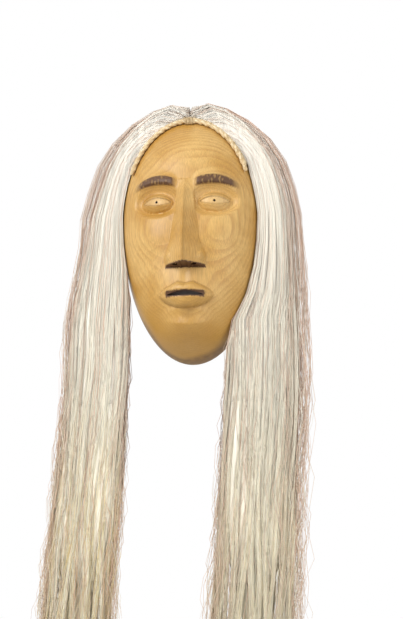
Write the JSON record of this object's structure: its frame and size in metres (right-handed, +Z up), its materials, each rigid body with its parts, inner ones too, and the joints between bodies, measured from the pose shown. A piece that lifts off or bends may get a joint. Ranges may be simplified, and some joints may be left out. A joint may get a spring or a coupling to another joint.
{
  "type": "carved wooden mask",
  "caption": "Hollow face mask carved from pale wood, with long hanks of pale horsehair that hang from a hide strip over its crown",
  "frame": {"origin": "centre of the hanging hole's mouth, on the flat back rim at the crown", "axes": "+Z up, -Y out of the face towards someone who looks at it, +Y into the wall, +X to that person's right"},
  "size_m": [0.266, 0.0872, 0.616],
  "materials": {
    "wood": "hand carved, oiled, with dark stain in the brows and under the nose",
    "hide": "dried pale hide with a rolled front edge",
    "tack_brass": "dull brass nails",
    "thread": "waxed thread",
    "horsehair": "straight ivory horsehair, yellow and brown in places"
  },
  "bodies": {
    "mask": {"mask_shell": "wood", "parting_wrap": "thread", "left_hide_strip": "hide", "right_hide_strip": "hide", "left_tacks": "tack_brass", "right_tacks": "tack_brass", "left_hair_root": "horsehair", "right_hair_root": "horsehair"},
    "left_neck": {"left_hair_neck": "horsehair"},
    "left_fall": {"left_hair_fall": "horsehair"},
    "right_neck": {"right_hair_neck": "horsehair"},
    "right_fall": {"right_hair_fall": "horsehair"}
  },
  "joints": [
    {"name": "left_hair_sway", "type": "hinge", "parent": "mask", "child": "left_neck", "pos_m": [-0.10829, -0.024, -0.2625], "axis": [0, 1, 0], "range_deg": [-6, 45]},
    {"name": "left_hair_nod", "type": "hinge", "parent": "left_neck", "child": "left_fall", "pos_m": [-0.10829, -0.024, -0.3305], "axis": [-1, 0, 0], "range_deg": [-2, 60]},
    {"name": "right_hair_sway", "type": "hinge", "parent": "mask", "child": "right_neck", "pos_m": [0.06539, -0.024, -0.2625], "axis": [0, -1, 0], "range_deg": [-6, 45]},
    {"name": "right_hair_nod", "type": "hinge", "parent": "right_neck", "child": "right_fall", "pos_m": [0.06539, -0.024, -0.3305], "axis": [-1, 0, 0], "range_deg": [-2, 60]}
  ]
}
